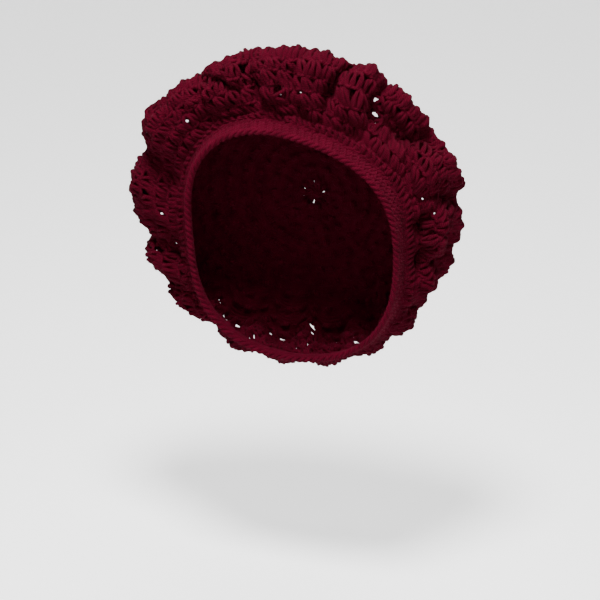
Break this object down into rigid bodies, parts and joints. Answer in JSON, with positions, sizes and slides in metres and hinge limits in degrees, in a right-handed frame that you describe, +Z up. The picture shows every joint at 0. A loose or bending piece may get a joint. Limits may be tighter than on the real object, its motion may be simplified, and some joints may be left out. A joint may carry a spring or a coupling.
{
  "type": "beret",
  "caption": "Slouchy crocheted beret: a gathered, ruffled disc of cluster stitch in thick wine-red yarn, drawn into a snug tight-stitched band round a head opening.",
  "frame": {"origin": "centre of the head opening, in the plane of the band's edge", "axes": "+Z up as the beret is worn on the back of an upright head, -Y out of the opening towards the face, +Y towards the crown, +X to the right of someone looking into the opening"},
  "size_m": [0.279, 0.102, 0.278],
  "materials": {
    "burgundy_yarn": "matt spun yarn with a soft sheen, slightly heathered, dark wine red"
  },
  "bodies": {
    "root": {"band_edge_round": "burgundy_yarn", "band_round_1": "burgundy_yarn", "band_round_2": "burgundy_yarn", "band_round_3": "burgundy_yarn", "band_round_4": "burgundy_yarn", "gather_round": "burgundy_yarn", "underside_round_1": "burgundy_yarn", "underside_round_2": "burgundy_yarn", "underside_round_3": "burgundy_yarn", "underside_round_4": "burgundy_yarn", "rim_round": "burgundy_yarn", "crown_round_11": "burgundy_yarn", "crown_round_10": "burgundy_yarn", "crown_round_09": "burgundy_yarn", "crown_round_08": "burgundy_yarn", "crown_round_07": "burgundy_yarn", "crown_round_06": "burgundy_yarn", "crown_round_05": "burgundy_yarn", "crown_round_04": "burgundy_yarn", "crown_round_03": "burgundy_yarn", "crown_round_02": "burgundy_yarn", "crown_centre_ring": "burgundy_yarn"}
  },
  "joints": []
}
